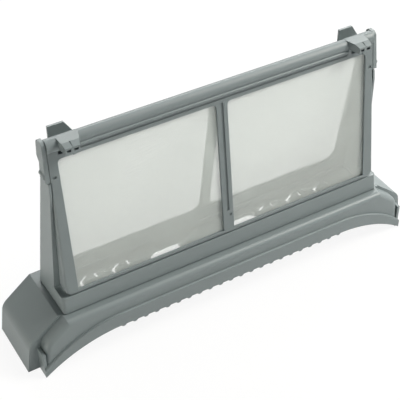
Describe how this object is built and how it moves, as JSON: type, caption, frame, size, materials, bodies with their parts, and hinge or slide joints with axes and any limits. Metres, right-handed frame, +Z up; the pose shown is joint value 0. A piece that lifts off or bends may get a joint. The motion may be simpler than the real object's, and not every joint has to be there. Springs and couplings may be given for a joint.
{
  "type": "tumble dryer lint filter",
  "caption": "Wedge-shaped lint filter pocket with stretched mesh screens, a front screen door hinged on a round top bar, and a wide arched grip base with an intake floor.",
  "frame": {"origin": "on the surface that the filter stands on, under the middle of its bounding box", "axes": "+X along the grip to the right as the door is faced, +Y from the door to the rear screen, +Z up"},
  "size_m": [0.341, 0.0616, 0.1834],
  "materials": {
    "base_plastic": "satin blue-grey moulded plastic",
    "frame_plastic": "satin blue-grey moulded plastic",
    "door_plastic": "satin blue-grey moulded plastic",
    "rear_cloth": "fine woven white filter mesh, see-through",
    "front_cloth": "fine woven white filter mesh, see-through"
  },
  "bodies": {
    "housing": {"grip_base": "base_plastic", "rear_pocket": "frame_plastic", "rear_mesh": "rear_cloth"},
    "door": {"front_door": "door_plastic", "front_mesh": "front_cloth"}
  },
  "joints": [
    {"name": "door_hinge", "type": "hinge", "parent": "housing", "child": "door", "pos_m": [0, -0.0012, 0.1784], "axis": [-1, 0, 0], "range_deg": [0, 90]}
  ]
}
